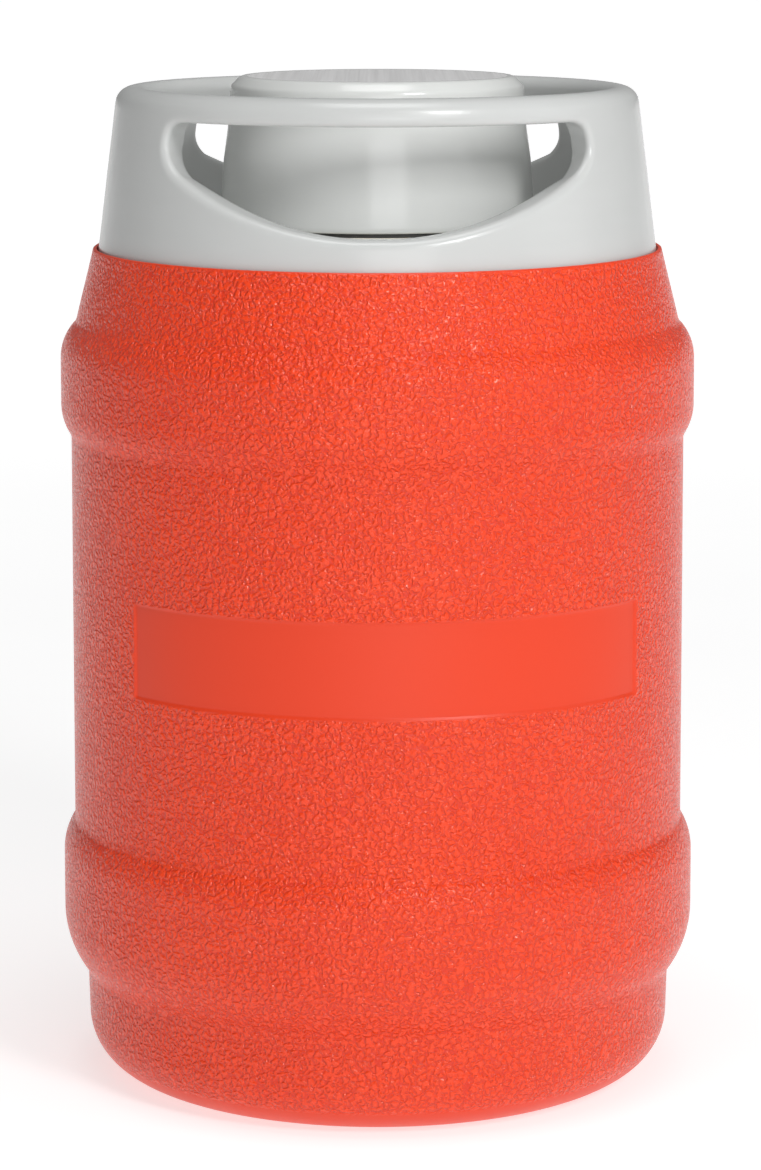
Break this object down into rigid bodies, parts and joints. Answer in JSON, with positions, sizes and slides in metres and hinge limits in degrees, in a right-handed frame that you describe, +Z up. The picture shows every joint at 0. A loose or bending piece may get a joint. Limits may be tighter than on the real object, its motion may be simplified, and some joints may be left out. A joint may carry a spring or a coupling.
{
  "type": "insulated drink jug",
  "caption": "Keg-shaped foam-insulated drink jug with a double-grip handle collar, a screw-off drinking cup and a push-button pour stopper.",
  "frame": {"origin": "centre of the base ring, on the surface the jug stands on", "axes": "+Z up along the jug's axis; the front with the blank panel and one grip window faces -Y"},
  "size_m": [0.1806, 0.1804, 0.2845],
  "materials": {
    "shell_plastic": "pebble-grained moulded polyethylene, bright orange-red",
    "plug_plastic": "smooth moulded plug",
    "foam": "closed-cell polyurethane foam",
    "liner_plastic": "natural cream food-grade polyethylene",
    "collar_plastic": "smooth semi-gloss light grey",
    "cup_plastic": "smooth semi-gloss light grey, finely lined top face",
    "stopper_plastic": "satin light grey",
    "button_plastic": "satin orange-red push button",
    "seal_rubber": "soft dark grey rubber, matte",
    "silicone": "translucent white silicone",
    "steel": "bright stainless wire"
  },
  "bodies": {
    "barrel": {"outer_shell": "shell_plastic", "foam_fill_plug": "plug_plastic", "insulation_foam": "foam", "inner_liner": "liner_plastic", "handle_collar": "collar_plastic", "neck_gasket": "silicone", "neck_insert": "liner_plastic"},
    "cup_ring": {"cup_seal": "seal_rubber"},
    "cup": {"drinking_cup": "cup_plastic"},
    "stopper_ring": {"stopper_gasket": "silicone"},
    "stopper": {"stopper_housing": "stopper_plastic", "stopper_base": "stopper_plastic", "stopper_foam": "foam", "pour_tube": "stopper_plastic", "stem_seal": "silicone"},
    "valve": {"pour_button": "button_plastic", "valve_stem": "stopper_plastic", "valve_disc": "stopper_plastic", "valve_screw": "steel", "valve_seal": "silicone", "button_spring": "steel"}
  },
  "joints": [
    {"name": "cup_turn", "type": "hinge", "parent": "barrel", "child": "cup_ring", "pos_m": [0, 0, 0.2427], "axis": [0, 0, 1], "range_deg": [0, 480]},
    {"name": "cup_rise", "type": "slide", "parent": "cup_ring", "child": "cup", "axis": [0, 0, 1], "range_m": [0, 0.008]},
    {"name": "stopper_turn", "type": "hinge", "parent": "barrel", "child": "stopper_ring", "pos_m": [0, 0, 0.2602], "axis": [0, 0, 1], "range_deg": [0, 480]},
    {"name": "stopper_rise", "type": "slide", "parent": "stopper_ring", "child": "stopper", "axis": [0, 0, 1], "range_m": [0, 0.008]},
    {"name": "button_press", "type": "slide", "parent": "stopper", "child": "valve", "axis": [0, 0, -1], "range_m": [0, 0.004], "stiffness_N_per_m": 600, "springref_m": -0.004, "deforming": ["button_spring"]}
  ],
  "couplings": [
    {"joint": "cup_rise", "follows": "cup_turn", "m_per_rad": 0.00095493},
    {"joint": "stopper_rise", "follows": "stopper_turn", "m_per_rad": 0.00095493}
  ]
}
